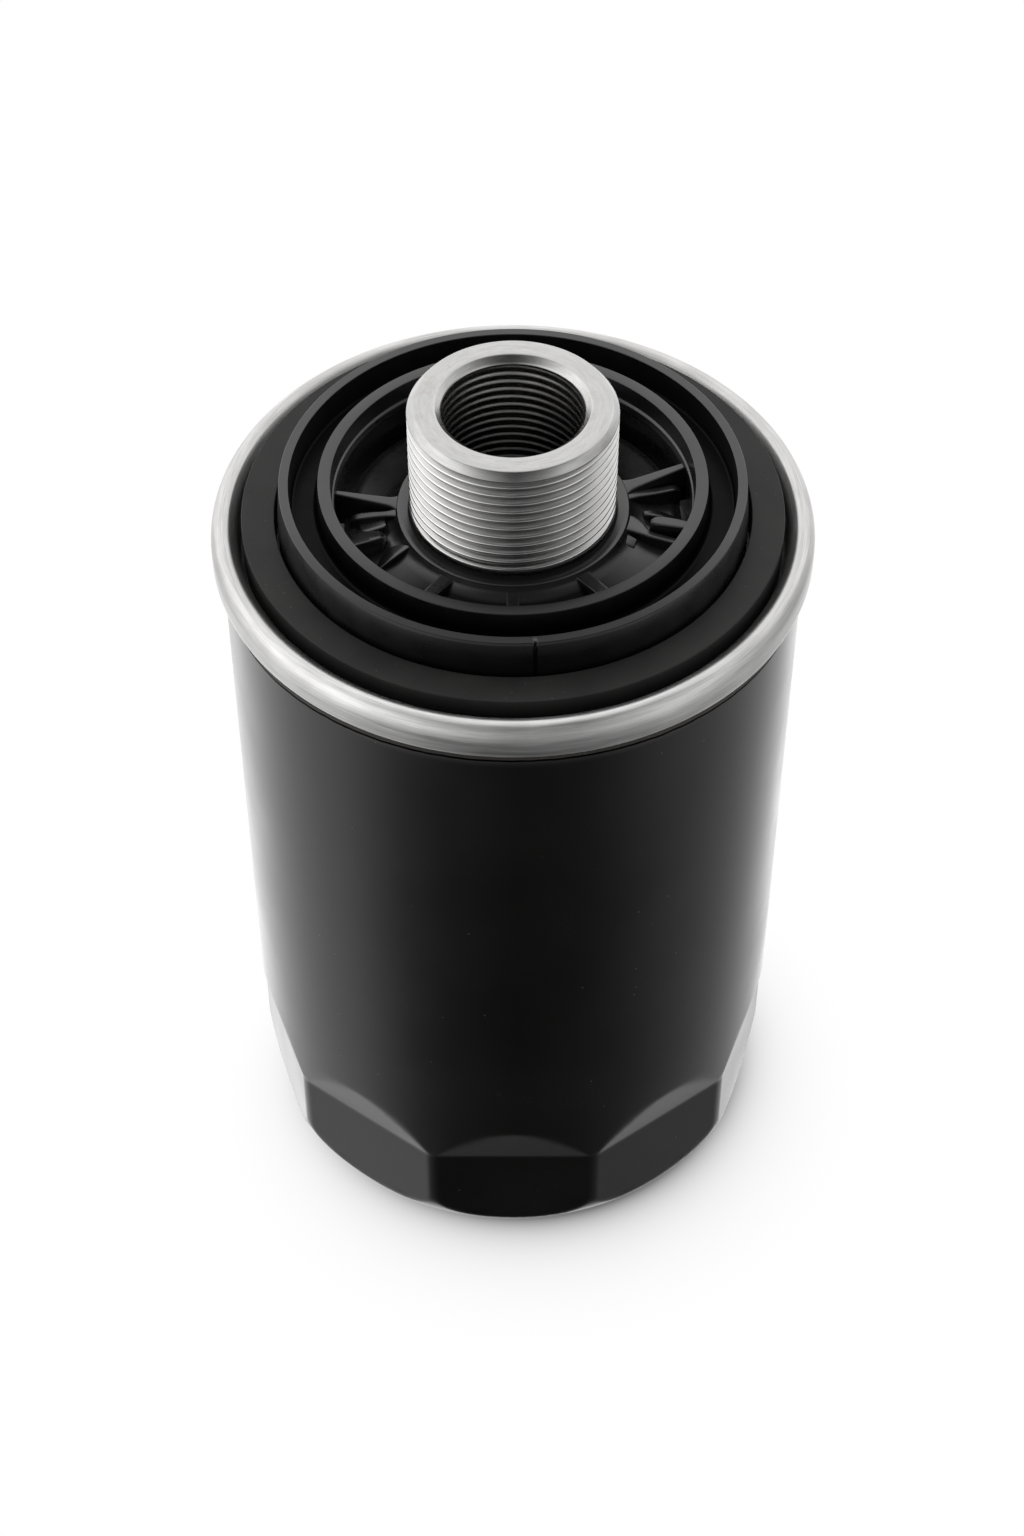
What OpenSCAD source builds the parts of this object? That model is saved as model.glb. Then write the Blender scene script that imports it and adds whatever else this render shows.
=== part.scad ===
// Spin-on oil filter: a drawn steel can with ten wrench flats, closed by a folded seam lid. A threaded
// nipple stands in a ribbed plastic insert on top, and the pleated element and its valves are inside.
// The origin is the centre of the base, +Z runs up the axis towards the nipple, and sizes are in mm.

/* [Can] */
// Outside radius of the can's wall
can_r = 36.8; // [36.6:0.1:36.9]
// Thickness of the can's steel sheet
can_t = 0.6; // [0.5:0.05:0.6]
// Height of the seam's reference level above the base
seam_z = 104.45; // [103:0.05:108]
// Radius of the arc that draws the wall in towards the base
base_round = 10; // [8:0.5:12]
// Height of that arc's centre, where the wall stops being upright
base_rise = 5.7; // [5:0.1:7]

/* [Wrench flats] */
// Number of flats
flat_count = 10; // [8:2:14]
// Distance from the axis to each flat
flat_r = 35.1; // [35:0.05:36]
// Height of the top of the upright part of each flat
flat_top = 15.4; // [14:0.1:19]
// Height at which the sloping shoulder meets the can's wall
shoulder_top = 23.2; // [21:0.1:26]

/* [Seam and gasket] */
// Outside radius of the folded seam
seam_r = 38; // [37.9:0.05:38.2]
// Thickness of the seam lid's sheet
lid_t = 0.7; // [0.6:0.05:0.7]
// Inside radius of the rubber gasket
gasket_ri = 29.9; // [29.8:0.05:30.2]
// Outside radius of the rubber gasket
gasket_ro = 34.07; // [33.5:0.01:34.5]
// Height of the gasket's face above the seam level
gasket_top = 2; // [1.5:0.1:2.5]

/* [Nipple] */
// Crest radius of the outside thread, M26
thread_r = 13; // [12.9:0.05:13.1]
// Crest radius of the inside thread, 3/4-16 UNF
bore_r = 8.73; // [8.6:0.01:8.8]
// Height of the nipple's end face above the seam level
nipple_top = 18.55; // [16:0.05:20]

/* [Plastic insert] */
// Height of the two ring walls above the seam level
ring_top = 6.75; // [6:0.05:7.5]
// Thickness of the ribs
rib_t = 1.4; // [1:0.1:1.8]

/* [Filter element] */
// Number of pleats in the paper
pleats = 50; // [40:1:56]
// Thickness of the paper
paper_t = 0.5; // [0.3:0.05:0.6]
// Height of the element's upper end cap above the base
element_top = 90.2; // [89:0.1:90.4]
// Height of the element's lower end cap above the base
element_base = 19.2; // [18.5:0.1:20]

/* [Hidden] */
$fn = 96;
EPS = 0.01;

// Levels below the seam, and radii, of what the lid and the base plate share
groove_z = seam_z - 3.2; // floor of the gasket's groove
plate_top = seam_z - 3.9;
plate_t = 3.5;
plate_base = plate_top - plate_t;
plate_r = can_r - can_t - 0.2;
lid_wall_r = 35; // inner wall of the seam
weld_count = 8;
weld_pcd_r = 32.5;
weld_r = 1.6;

// Nipple
shank_r = 12.7;
relief_r = 12.2;
spigot_r = 10.6;
flange_r = 15.2;
flange_t = 2.2;
thread_base = seam_z + 3.3; // lowest crest, just above the insert's hub
spigot_base = element_top - 4.2;

// Insert and the inlet holes below it
hub_r = 14.5;
hub_bore_r = 12.85;
hub_top = seam_z + 2.2;
slot_ri = 21.2; // annular inlet slot
slot_ro = 22.5;
inlet_count = 8;
inlet_pcd_r = 18.2;
inlet_r = 2.9;
seal_wire = 0.7;

// Element
cap_r = 32;
cap_t = 0.5;
cap_rim = 4;
neck_r = 12.6;
potting_t = 2;
paper_ro = 30.9;
paper_ri = 16.3;
tube_r = 15.6;
tube_t = 0.6;
tube_hole_r = 1.9;
paper_base = element_base + cap_t + potting_t;
paper_top = element_top - cap_t - potting_t;

// Bypass valve, from the seat upwards
seat_r = 5.9;
seat_lip = element_base + 1.2;
poppet_r = 7.6;
poppet_base = seat_lip + 0.8;
cage_top = element_base + 16.8;
stem_r = 1.5;

// Points on an ellipse about c, from angle a0 to a1, in an (r, z) outline
function arc(c, rx, rz, a0, a1, n = 6) =
    [for (i = [0:n]) let (a = a0 + (a1 - a0) * i / n) [c[0] + rx * cos(a), c[1] + rz * sin(a)]];

// Outline of a plain ring with its corners rounded
function ring_outline(ri, ro, z0, z1, round) = concat(
    arc([ro - round, z0 + round], round, round, -90, 0, 4),
    arc([ro - round, z1 - round], round, round, 0, 90, 4),
    arc([ri + round, z1 - round], round, round, 90, 180, 4),
    arc([ri + round, z0 + round], round, round, 180, 270, 4));

module spin(outline) rotate_extrude() polygon(outline);

module ring(ri, ro, z0, z1) translate([0, 0, z0]) difference() {
    cylinder(r = ro, h = z1 - z0);
    translate([0, 0, -1]) cylinder(r = ri, h = z1 - z0 + 2);
}

module around(count, r, first = 0)
    for (i = [0:count - 1]) rotate([0, 0, first + i * 360 / count]) translate([r, 0, 0]) children();

// A round wire wound from radius r0 at height z0 to r1 at z1, with flat_ends turns lying flat at each end
module coil(r0, r1, z0, z1, wire, turns, flat_ends, steps = 24, sides = 8) {
    total = turns * steps;
    pitch = (z1 - z0) / (turns - 2 * flat_ends);
    function climb(t) = t < flat_ends ? 0 : t > turns - flat_ends ? z1 - z0 : (t - flat_ends) * pitch;
    function middle(i) = let (t = i / steps, k = i / total, r = r0 + (r1 - r0) * k)
        [r * cos(360 * t), r * sin(360 * t), z0 + climb(t)];
    points = [for (i = [0:total], s = [0:sides - 1])
        let (a = 360 * i / steps, b = 360 * s / sides)
        middle(i) + wire * [cos(b) * cos(a), cos(b) * sin(a), sin(b)]];
    walls = [for (i = [0:total - 1], s = [0:sides - 1]) let (n = (s + 1) % sides)
        [i * sides + s, i * sides + n, (i + 1) * sides + n, (i + 1) * sides + s]];
    first_end = [for (s = [sides - 1:-1:0]) s];
    last_end = [for (s = [0:sides - 1]) total * sides + s];
    polyhedron(points = points, faces = concat(walls, [first_end, last_end]));
}

// The can's form, drawn in by inset from its outside: a round wall, flats, and a panel raised in the base
module can_form(inset, top) {
    r = can_r - inset;
    a = flat_r - inset;
    round = base_round - inset;
    turn = 0.2; // height of the tight bend at the foot
    foot_angle = asin((base_rise - inset - turn) / round);
    foot = r - round + round * cos(foot_angle) - turn; // outer edge of the ring that the can stands on
    slope = (can_r - flat_r) / (shoulder_top - flat_top);
    reach = 3; // how far the flat's cutter runs up past the shoulder
    difference() {
        spin(concat([[0, inset], [foot, inset]], arc([r - round, base_rise], round, round, -foot_angle, 0, 6),
            [[r, top], [0, top]]));
        around(flat_count, 0, -90) rotate([90, 0, 0])
            linear_extrude(height = 30, center = true)
            polygon([[can_r + 3, -1], [a, -1], [a, flat_top],
                [a + slope * (shoulder_top + reach - flat_top), shoulder_top + reach],
                [can_r + 3, shoulder_top + reach]]);
        // panel raised in the base, so that the can stands on a ring
        spin([[0, -1], [20.6 - inset, -1], [20 + inset, inset], [18 + inset, 1.2 + inset],
            [0, 1.2 + inset]]);
    }
}

module can() color("#141415") {
    wall_top = seam_z - 0.4;
    difference() {
        can_form(0, wall_top);
        can_form(can_t, wall_top + 1);
    }
    ring(can_r - EPS, can_r + 0.35, wall_top - 0.5, wall_top); // flange folded into the seam
}

module seam_lid() color("#b9b9ba") {
    t = lid_t;
    crown = 36.4; // radius of the top of the fold
    difference() {
        spin(concat(
            [[gasket_ri + 0.1, plate_top], [gasket_ri + 0.1, groove_z], [lid_wall_r, groove_z]],
            arc([crown, seam_z + 0.2], crown - lid_wall_r, 0.9, 180, 90),
            arc([crown, seam_z - 1.2], seam_r - crown, 2.3, 80, 0),
            arc([seam_r - 0.9, seam_z - 3], 0.9, 0.9, 0, -90),
            [[can_r + 0.1, seam_z - 3.9], [can_r + 0.1, seam_z - 3.4], [seam_r - t, seam_z - 2.9]],
            arc([crown, seam_z - 1.2], seam_r - t - crown, 1.6, 0, 90),
            [[lid_wall_r + t, seam_z + 0.2], [lid_wall_r + t, plate_top]]));
        weld_discs(0.4);
    }
}

module weld_discs(above) translate([0, 0, plate_top - 0.6])
    around(weld_count, weld_pcd_r, 22.5) cylinder(r = weld_r, h = 0.6 + above);

module seam_sealant() color("#7a6a3a")
    ring(lid_wall_r + lid_t, can_r - can_t, plate_top + 0.1, seam_z - 0.9);

module base_plate() color("#9a9c9e") difference() {
    ring(shank_r + 0.05, plate_r, plate_base, plate_top);
    translate([0, 0, plate_base - 1])
        around(inlet_count, inlet_pcd_r, 22.5) cylinder(r = inlet_r, h = plate_t + 2);
    weld_discs(0.4);
}

module weld_spots() color("#6f7072") weld_discs(0.4);

module threaded_nipple() color("#cfcfd0") {
    end = seam_z + nipple_top;
    chamfer = 0.9;
    difference() {
        union() {
            translate([0, 0, thread_base]) cylinder(r = thread_r, h = end - chamfer - thread_base);
            translate([0, 0, end - chamfer]) cylinder(r1 = thread_r, r2 = relief_r, h = chamfer);
            translate([0, 0, seam_z + 1.4]) cylinder(r = relief_r, h = thread_base - seam_z - 1.4);
            translate([0, 0, plate_base]) cylinder(r = shank_r, h = seam_z + 1.4 - plate_base);
            translate([0, 0, plate_base - flange_t]) cylinder(r = flange_r, h = flange_t);
            translate([0, 0, spigot_base])
                cylinder(r = spigot_r, h = plate_base - flange_t - spigot_base);
        }
        translate([0, 0, spigot_base - 1]) cylinder(r = bore_r, h = end - spigot_base + 2);
        translate([0, 0, end - chamfer]) cylinder(r1 = bore_r, r2 = 9.6 + 0.01, h = chamfer + EPS);
    }
}

module outer_gasket() color("#232324")
    spin(ring_outline(gasket_ri, gasket_ro, groove_z, seam_z + gasket_top, 0.4));

// Ribs between the hub and the inner ring: azimuth, then the radii where each starts and ends
full_ribs = [-123, -90, -54.5, -17, 14, 60, 90, 120, 177.5];
hub_ribs = [-150, 9, 183];
ring_ribs = [-158, -10];

module rib(azimuth, r0, r1) {
    rise = (3.6 - 1.7) / (slot_ro - hub_r); // the top edge climbs from the hub to the ring
    function top(r) = seam_z + 1.7 + rise * (r - hub_r);
    rotate([0, 0, azimuth]) rotate([90, 0, 0]) linear_extrude(height = rib_t, center = true)
        polygon([[r0, seam_z - 1.6], [r1, seam_z - 1.6], [r1, top(r1)], [r0, top(r0)]]);
}

module plastic_insert() color("#1d1d1e") {
    top = seam_z + ring_top;
    floor_z = seam_z + 3; // floor of the channel between the two rings
    difference() {
        spin([[slot_ro, plate_top], [29.5, plate_top], [29.5, seam_z + 2], [29.1, top - 0.4],
            [28.7, top], [28.2, top], [27.9, top - 0.3], [27.8, floor_z + 0.5], [27.3, floor_z],
            [25.4, floor_z], [24.9, floor_z + 0.5], [24.28, top - 0.3], [24, top], [23, top],
            [22.71, top - 0.3], [22.6, seam_z + 4], [22.2, seam_z + 3.6], [22.2, seam_z + 3.1],
            [slot_ro, seam_z + 2.9]]);
        ring(24.1, 27.9, plate_top - 1, floor_z - 1.5); // hollow under the channel
    }
    difference() {
        spin(concat([[hub_bore_r, plate_top], [14.8, plate_top], [14.8, seam_z - 1.6],
            [slot_ri, seam_z - 1.6], [slot_ri, seam_z - 0.2]],
            arc([slot_ri, seam_z + 2.4], slot_ri - 14.8, 2.6, -90, -170),
            [[hub_r, hub_top - 0.25], [hub_r - 0.25, hub_top], [hub_bore_r, hub_top - 0.15]]));
        ring(hub_bore_r - 1, 14.15, plate_top - 1, plate_top + 1.6); // seat of the hub's seal
    }
    for (a = full_ribs) rib(a, hub_r - 0.3, slot_ro + 0.6);
    for (a = hub_ribs) rib(a, hub_r - 0.3, 19.5);
    for (a = ring_ribs) rib(a, 17.5, slot_ro + 0.6);
}

module hub_seal() color("#161616") translate([0, 0, plate_top + 0.75])
    rotate_extrude() translate([shank_r + 0.03 + seal_wire, 0]) circle(r = seal_wire, $fn = 24);

// Rubber diaphragm: its collar rests on the element and its lip closes on the base plate
module anti_drain_valve() color("#2c2320") {
    lip_z = plate_base - 0.05;
    foot = element_top;
    spin([[15.7, foot], [19, foot], [19, foot + 1.3], [23.6, lip_z - 1.1], [26.5, lip_z - 1],
        [26.5, lip_z - 0.2], [26.2, lip_z], [23, lip_z], [22.6, lip_z - 0.2], [17.6, foot + 2],
        [15.7, foot + 2]]);
}

module element_seal() color("#1b1b1b") {
    ring(spigot_r + 0.05, neck_r - cap_t, element_top - 5.5, element_top);
    ring(spigot_r + 0.05, 14.6, element_top, element_top + 0.8);
}

// Pressed end cap: a disc with an outer rim and a neck, both turned towards the paper
module end_cap() {
    ring(neck_r - cap_t, cap_r, 0, cap_t);
    ring(cap_r - cap_t, cap_r, 0, cap_rim);
    ring(neck_r - cap_t, neck_r, 0, cap_rim);
}

module upper_end_cap() color("#b5a66c") translate([0, 0, element_top]) mirror([0, 0, 1]) end_cap();
module lower_end_cap() color("#b5a66c") translate([0, 0, element_base]) end_cap();

module potting(z) ring(neck_r + 0.05, cap_r - cap_t - 0.1, z, z + potting_t);
module upper_potting() color("#6b7f5a") potting(paper_top);
module lower_potting() color("#6b7f5a") potting(element_base + cap_t);

// One side of the paper: folds w_out wide at radius r_out, and w_in wide between them at radius r_in
function folds(r_out, w_out, r_in, w_in) = [for (i = [0:pleats - 1], k = [-1, 1, 2, 3])
    let (outer = abs(k) == 1,
         r = outer ? r_out : r_in,
         side = outer ? k * w_out : (k == 2 ? -w_in : w_in),
         a = 360 * (i + (outer ? 0 : 0.5)) / pleats + side / r * 180 / PI)
    [r * cos(a), r * sin(a)]];

module filter_paper() color("#d9b36a") {
    half = 0.75; // half the width of a fold, outside the paper
    inside = half - paper_t;
    translate([0, 0, paper_base]) linear_extrude(height = paper_top - paper_base) difference() {
        polygon(folds(paper_ro, half, paper_ri + paper_t, inside));
        polygon(folds(paper_ro - paper_t, inside, paper_ri, half));
    }
}

module paper_seam_clip() color("#a9abad")
    translate([paper_ro + 0.05, -1.4, paper_base + 3])
    cube([0.35, 2.8, paper_top - paper_base - 6]);

module centre_tube() color("#b8babc") {
    rows = 9;
    per_row = 10;
    pitch = (paper_top - paper_base) / rows;
    difference() {
        ring(tube_r - tube_t, tube_r, paper_base, paper_top);
        for (row = [0:rows - 1]) translate([0, 0, paper_base + (row + 0.5) * pitch])
            around(per_row, tube_r, (row % 2) * 180 / per_row) rotate([0, 90, 0])
                cylinder(r = tube_hole_r, h = 4, center = true, $fn = 24);
    }
}

module bypass_seat() color("#a3a5a8") spin([[seat_r - 0.4, element_base - 0.8],
    [14, element_base - 0.8], [14, element_base], [neck_r - cap_t - 0.05, element_base],
    [neck_r - cap_t - 0.05, element_base + 4.6], [11.3, element_base + 4.6],
    [11.3, element_base + 0.4], [seat_r + 0.4, element_base + 0.4], [seat_r + 0.4, seat_lip - 0.2],
    [seat_r + 0.1, seat_lip], [seat_r - 0.1, seat_lip], [seat_r - 0.4, seat_lip - 0.2]]);

module bypass_seal() color("#1a1a1a") ring(stem_r + 0.05, poppet_r - 0.3, seat_lip, poppet_base);

module bypass_poppet() color("#c4c5c7") {
    translate([0, 0, poppet_base]) cylinder(r = poppet_r, h = 1);
    ring(poppet_r - 0.6, poppet_r, poppet_base + 1 - EPS, poppet_base + 2.4);
    translate([0, 0, poppet_base - 1]) cylinder(r = stem_r, h = cage_top + 2.5 - poppet_base);
}

module bypass_spring() color("#8e9093")
    coil(5.2, 5.2, poppet_base + 1.52, cage_top - 1.52, 0.5, 6, 0.75);

// Four legs and a bridge that hold the spring down and guide the poppet's stem
module bypass_cage() color("#a3a5a8") {
    r = 11.2;
    ring(9.6, r, element_base + 0.4, element_base + 1.2);
    intersection() {
        ring(r - 0.8, r, element_base + 0.4, cage_top);
        for (a = [0, 90]) rotate([0, 0, a])
            translate([-r - 1, -2.2, element_base]) cube([2 * r + 2, 4.4, cage_top - element_base]);
    }
    ring(stem_r + 0.15, r, cage_top - 1, cage_top);
}

module element_spring() color("#7f8184")
    coil(22.6, 18.6, can_t + 1.05, element_base - 1.05, 1, 4, 0.75, 28);

can();
seam_lid();
seam_sealant();
base_plate();
weld_spots();
threaded_nipple();
outer_gasket();
plastic_insert();
hub_seal();
anti_drain_valve();
element_seal();
upper_end_cap();
upper_potting();
filter_paper();
paper_seam_clip();
centre_tube();
lower_potting();
lower_end_cap();
bypass_seat();
bypass_seal();
bypass_poppet();
bypass_spring();
bypass_cage();
element_spring();
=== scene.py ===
"""Looks of the spin-on oil filter: lathe-built shells, helical threads and procedural materials.

Outlines are lists of (radius, height) in millimetres, with heights above the seam's reference level
unless a comment says otherwise. Azimuths are in degrees, counted anticlockwise from +X.
"""
import math
import bpy
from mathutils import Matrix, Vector


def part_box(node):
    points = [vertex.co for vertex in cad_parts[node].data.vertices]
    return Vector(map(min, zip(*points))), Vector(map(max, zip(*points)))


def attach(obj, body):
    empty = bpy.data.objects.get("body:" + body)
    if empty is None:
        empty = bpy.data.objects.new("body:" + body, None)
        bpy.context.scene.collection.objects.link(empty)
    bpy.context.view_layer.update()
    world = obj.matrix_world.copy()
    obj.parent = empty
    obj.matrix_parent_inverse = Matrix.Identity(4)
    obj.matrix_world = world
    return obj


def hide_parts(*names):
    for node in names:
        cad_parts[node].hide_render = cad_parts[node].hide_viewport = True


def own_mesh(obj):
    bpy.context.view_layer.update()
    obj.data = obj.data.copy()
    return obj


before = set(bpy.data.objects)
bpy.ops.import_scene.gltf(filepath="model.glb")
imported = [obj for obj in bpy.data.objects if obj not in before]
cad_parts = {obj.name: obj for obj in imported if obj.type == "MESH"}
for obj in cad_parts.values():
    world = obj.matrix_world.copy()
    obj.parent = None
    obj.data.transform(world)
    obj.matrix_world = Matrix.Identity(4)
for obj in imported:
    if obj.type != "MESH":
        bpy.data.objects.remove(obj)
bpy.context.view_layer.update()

MM = 0.001
RIM_DEPTH = 0.4                                    # of the can's rim, below the seam's reference level
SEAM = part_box("can")[1].z / MM + RIM_DEPTH         # the seam's reference level
NIPPLE_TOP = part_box("threaded_nipple")[1].z / MM - SEAM
RING_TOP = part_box("plastic_insert")[1].z / MM - SEAM
SEAM_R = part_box("seam_lid")[1].x / MM
COLUMNS = 240                                      # columns round each lathed piece


# ---------------------------------------------------------------- mesh building

def polar(r, azimuth, z):
    """The point at a radius, an azimuth in radians and a height, all in mm, as metres."""
    return (r * math.cos(azimuth) * MM, r * math.sin(azimuth) * MM, z * MM)


def new_piece(name, points, faces, body, node, slot, material):
    """Makes a mesh object, hangs it on its CAD body and hides the CAD node it stands for."""
    mesh = bpy.data.meshes.new(name)
    mesh.from_pydata(points, [], faces)
    mesh.validate()
    mesh.polygons.foreach_set("use_smooth", [True] * len(mesh.polygons))
    obj = bpy.data.objects.new(name, mesh)
    bpy.context.scene.collection.objects.link(obj)
    mesh.materials.append(material)
    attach(obj, body)
    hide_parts(node)
    return obj


def weigh_normals(obj):
    """Keeps the flats between fillets flat in the shading."""
    modifier = obj.modifiers.new("weighted_normals", "WEIGHTED_NORMAL")
    modifier.weight = 80
    modifier.keep_sharp = True


def outline(corners, steps=5):
    """A closed outline from (r, z, fillet) corners, each fillet an arc of so many steps."""
    points = []
    count = len(corners)
    for i, (r, z, fillet) in enumerate(corners):
        if fillet <= 0:
            points.append((r, z))
            continue
        before, after = corners[i - 1], corners[(i + 1) % count]
        a = (before[0] - r, before[1] - z)
        b = (after[0] - r, after[1] - z)
        la, lb = math.hypot(*a), math.hypot(*b)
        a, b = (a[0] / la, a[1] / la), (b[0] / lb, b[1] / lb)
        half = math.acos(max(-1, min(1, a[0] * b[0] + a[1] * b[1]))) / 2
        cut = min(fillet / math.tan(half), 0.48 * la, 0.48 * lb)
        radius = cut * math.tan(half)
        middle = (a[0] + b[0], a[1] + b[1])
        length = math.hypot(*middle) or 1
        far = radius / math.sin(half)
        centre = (r + middle[0] / length * far, z + middle[1] / length * far)
        start = math.atan2(z + a[1] * cut - centre[1], r + a[0] * cut - centre[0])
        end = math.atan2(z + b[1] * cut - centre[1], r + b[0] * cut - centre[0])
        turn = (end - start + math.pi) % (2 * math.pi) - math.pi
        points += [(centre[0] + radius * math.cos(start + turn * k / steps),
                    centre[1] + radius * math.sin(start + turn * k / steps)) for k in range(steps + 1)]
    return points


def subdivided(points, longest):
    """The same closed outline with no stretch longer than so many mm."""
    fine = []
    for (r0, z0), (r1, z1) in zip(points, points[1:] + points[:1]):
        parts = max(1, math.ceil(math.hypot(r1 - r0, z1 - z0) / longest))
        fine += [(r0 + (r1 - r0) * k / parts, z0 + (z1 - z0) * k / parts) for k in range(parts)]
    return fine


def quads(rows, columns, closed=True):
    """Faces of a grid that is closed along its rows and, if closed, from its last row to its first."""
    faces = []
    for i in range(rows if closed else rows - 1):
        for j in range(columns):
            k, l = (i + 1) % rows, (j + 1) % columns
            faces.append((i * columns + j, i * columns + l, k * columns + l, k * columns + j))
    return faces


def lathed(points, azimuths=None, shape=None):
    """Points and faces of a closed outline turned round the axis; shape(r, z, azimuth) may bend it."""
    azimuths = azimuths or [2 * math.pi * j / COLUMNS for j in range(COLUMNS)]
    made = []
    for r, z in points:
        for azimuth in azimuths:
            rr, zz = shape(r, z, azimuth) if shape else (r, z)
            made.append(polar(rr, azimuth, SEAM + zz))
    return made, quads(len(points), len(azimuths))


def joined(*parts):
    """One list of points and one of faces from several."""
    points, faces = [], []
    for p, f in parts:
        faces += [tuple(i + len(points) for i in face) for face in f]
        points += p
    return points, faces


# ---------------------------------------------------------------- materials

def put(tree, socket, value):
    """Links a socket to another node's output, or gives it a value."""
    if isinstance(value, bpy.types.NodeSocket):
        tree.links.new(value, socket)
    else:
        socket.default_value = value


def add_node(tree, kind, inputs=None, **settings):
    made = tree.nodes.new(kind)
    for key, value in settings.items():
        setattr(made, key, value)
    for key, value in (inputs or {}).items():
        put(tree, made.inputs[key], value)
    return made


class Graph:
    """A material's node tree, with short calls for the nodes used here."""

    def __init__(self, name):
        self.material = bpy.data.materials.new(name)
        self.material.use_nodes = True
        self.tree = self.material.node_tree
        self.bsdf = self.tree.nodes["Principled BSDF"]
        where = self.node("ShaderNodeTexCoord").outputs["Object"]
        self.mm = self.vector("SCALE", where, scale=1 / MM)
        parts = self.node("ShaderNodeSeparateXYZ", {0: self.mm})
        self.x, self.y, self.z = parts.outputs

    def node(self, kind, inputs=None, **settings):
        return add_node(self.tree, kind, inputs, **settings)

    def math(self, operation, a, b=0.0):
        return self.node("ShaderNodeMath", {0: a, 1: b}, operation=operation).outputs[0]

    def vector(self, operation, a, b=(0, 0, 0), scale=1.0):
        return self.node("ShaderNodeVectorMath", {0: a, 1: b, 3: scale}, operation=operation).outputs[0]

    def noise(self, vector, scale, detail=2.0, roughness=0.5, w=None):
        inputs = {"Vector": vector, "Scale": scale, "Detail": detail, "Roughness": roughness}
        if w is None:
            return self.node("ShaderNodeTexNoise", inputs, noise_dimensions="3D").outputs["Fac"]
        inputs["W"] = w
        return self.node("ShaderNodeTexNoise", inputs, noise_dimensions="4D").outputs["Fac"]

    def between(self, value, low, high, to_low=0.0, to_high=1.0):
        """value from low to high, mapped to to_low to to_high and held there outside."""
        inputs = {0: value, 1: low, 2: high, 3: to_low, 4: to_high}
        return self.node("ShaderNodeMapRange", inputs).outputs[0]

    def within(self, value, low, high, feather=0.1):
        """1 where value lies from low to high and 0 outside, with soft ends."""
        return self.product(self.between(value, low - feather, low + feather),
                            self.between(value, high - feather, high + feather, 1.0, 0.0))

    def product(self, first, *others):
        for other in others:
            first = self.math("MULTIPLY", first, other)
        return first

    def mix(self, factor, a, b):
        """Colour a where factor is 0 and b where it is 1."""
        return self.node("ShaderNodeMix", {0: factor, 6: a, 7: b}, data_type="RGBA").outputs[2]

    def bump(self, height, strength, distance):
        """Bumps the surface, with distance in mm."""
        inputs = {"Height": height, "Strength": strength, "Distance": distance * MM}
        put(self.tree, self.bsdf.inputs["Normal"], self.node("ShaderNodeBump", inputs).outputs[0])

    def set(self, **values):
        for key, value in values.items():
            put(self.tree, self.bsdf.inputs[key.replace("_", " ")], value)
        return self.material

    def radius(self):
        """Distance from the axis in mm."""
        squares = self.math("ADD", self.product(self.x, self.x), self.product(self.y, self.y))
        return self.math("SQRT", squares)

    def around(self, along, across):
        """Noise drawn out round the axis: along sets its rate round, across its rate per mm."""
        r = self.radius()
        flat = self.node("ShaderNodeCombineXYZ", {0: self.x, 1: self.y, 2: 0.0}).outputs[0]
        unit = self.vector("NORMALIZE", flat)
        lifted = self.node("ShaderNodeCombineXYZ", {2: self.product(self.z, across)}).outputs[0]
        place = self.vector("ADD", self.vector("SCALE", unit, scale=along), lifted)
        return self.noise(place, 1.0, 3.0, 0.6, w=self.product(r, across))

    def specks(self, scale, size, share):
        """Small dots, 1 inside: about a share of the cells of so many per mm get one."""
        cells = self.node("ShaderNodeTexVoronoi", {"Vector": self.mm, "Scale": scale})
        inside = self.between(cells.outputs["Distance"], size * 0.5, size, 1.0, 0.0)
        pick = self.node("ShaderNodeSeparateColor", {0: cells.outputs["Color"]}).outputs[0]
        return self.product(inside, self.math("GREATER_THAN", pick, 1.0 - share))

    def scratches(self, direction):
        """Sparse hairlines, 1 inside, along one direction."""
        inputs = {"Vector": self.mm, "Rotation": direction, "Scale": (9, 0.25, 9)}
        drawn = self.node("ShaderNodeMapping", inputs).outputs[0]
        line = self.between(self.noise(drawn, 1.0, 1.0), 0.74, 0.8)
        return self.product(line, self.between(self.noise(self.mm, 0.11, 2.0), 0.52, 0.6))


def grey(level, warm=0.0):
    """A colour of that level, a little redder than blue where warm is above 0."""
    return (level * (1 + warm), level, level * (1 - warm), 1.0)


# Where the looks change, in mm. Heights are above the seam's reference level.
STRIP_TOP = -4.55          # where the paint comes into sight under the seam, at the front
STRIP_SAG = 1.3            # how much lower that is at the sides
CHANNEL_R = (24.4, 27.8)   # the insert's channel, between its two ring walls
POCKETS_R = (14.7, 22.5)   # the insert's pockets, between the hub and the ring
SHADOW_R = 35.3            # where the table's shadow is deepest


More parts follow.
